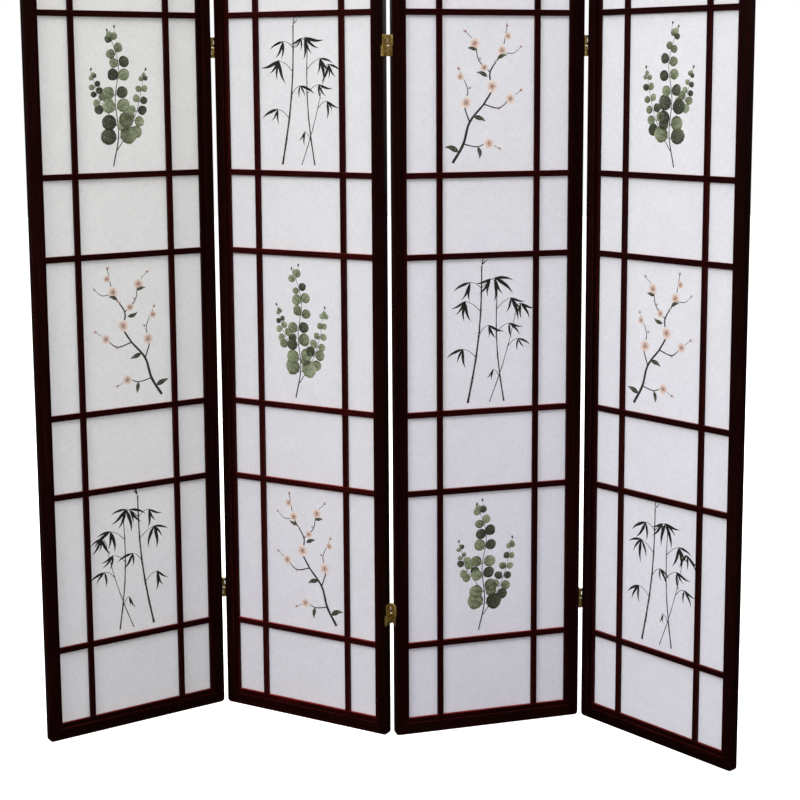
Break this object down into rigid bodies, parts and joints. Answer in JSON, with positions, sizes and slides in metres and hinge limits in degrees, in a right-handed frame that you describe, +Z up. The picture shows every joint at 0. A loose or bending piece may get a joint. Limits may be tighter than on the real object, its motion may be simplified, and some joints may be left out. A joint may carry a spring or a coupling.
{
  "type": "wooden folding screen",
  "caption": "Wooden folding screen: tall frames with a lattice over white paper, joined by two-way hinges and standing in an open zigzag.",
  "frame": {"origin": "on the floor, at the middle of the bounding box of the standing screen", "axes": "+Z up, front faces towards -Y, the panels run along +X from panel 1 to panel 4"},
  "size_m": [1.487, 0.437, 1.78],
  "materials": {
    "frame_wood": "dark cherry lacquer, semi-gloss",
    "lattice_wood": "dark cherry lacquer, semi-gloss",
    "paper": "white fibrous paper, matt",
    "hinge_brass": "plated brass, slightly dulled",
    "hinge_pin": "plated brass",
    "screw": "plated brass"
  },
  "bodies": {
    "panel_1": {"panel_1_left_stile": "frame_wood", "panel_1_right_stile": "frame_wood", "panel_1_top_rail": "frame_wood", "panel_1_bottom_rail": "frame_wood", "panel_1_lattice_uprights": "lattice_wood", "panel_1_lattice_crossbars": "lattice_wood", "panel_1_lattice_border": "lattice_wood", "panel_1_paper": "paper", "panel_1_hinge_screws": "screw", "hinge_12_left_leaves": "hinge_brass", "hinge_12_upper_links": "hinge_brass", "hinge_12_left_pins": "hinge_pin"},
    "panel_2": {"panel_2_left_stile": "frame_wood", "panel_2_right_stile": "frame_wood", "panel_2_top_rail": "frame_wood", "panel_2_bottom_rail": "frame_wood", "panel_2_lattice_uprights": "lattice_wood", "panel_2_lattice_crossbars": "lattice_wood", "panel_2_lattice_border": "lattice_wood", "panel_2_paper": "paper", "panel_2_hinge_screws": "screw", "hinge_12_right_leaves": "hinge_brass", "hinge_12_lower_links": "hinge_brass", "hinge_12_right_pins": "hinge_pin", "hinge_23_left_leaves": "hinge_brass", "hinge_23_lower_links": "hinge_brass", "hinge_23_left_pins": "hinge_pin"},
    "panel_3": {"panel_3_left_stile": "frame_wood", "panel_3_right_stile": "frame_wood", "panel_3_top_rail": "frame_wood", "panel_3_bottom_rail": "frame_wood", "panel_3_lattice_uprights": "lattice_wood", "panel_3_lattice_crossbars": "lattice_wood", "panel_3_lattice_border": "lattice_wood", "panel_3_paper": "paper", "panel_3_hinge_screws": "screw", "hinge_23_right_leaves": "hinge_brass", "hinge_23_upper_links": "hinge_brass", "hinge_23_right_pins": "hinge_pin", "hinge_34_left_leaves": "hinge_brass", "hinge_34_upper_links": "hinge_brass", "hinge_34_left_pins": "hinge_pin"},
    "panel_4": {"panel_4_left_stile": "frame_wood", "panel_4_right_stile": "frame_wood", "panel_4_top_rail": "frame_wood", "panel_4_bottom_rail": "frame_wood", "panel_4_lattice_uprights": "lattice_wood", "panel_4_lattice_crossbars": "lattice_wood", "panel_4_lattice_border": "lattice_wood", "panel_4_paper": "paper", "panel_4_hinge_screws": "screw", "hinge_34_right_leaves": "hinge_brass", "hinge_34_lower_links": "hinge_brass", "hinge_34_right_pins": "hinge_pin"}
  },
  "joints": [
    {"name": "fold_1_2", "type": "hinge", "parent": "panel_2", "child": "panel_1", "pos_m": [-0.37573, 0.19322, 0], "axis": [0, 0, 1], "range_deg": [-64.23, 115.77]},
    {"name": "fold_2_3", "type": "hinge", "parent": "panel_2", "child": "panel_3", "pos_m": [0.01692, 0.00324, 0], "axis": [0, 0, 1], "range_deg": [-46.17, 132.83]},
    {"name": "fold_3_4", "type": "hinge", "parent": "panel_3", "child": "panel_4", "pos_m": [0.44123, 0.1044, 0], "axis": [0, 0, -1], "range_deg": [-65.64, 114.36]}
  ]
}
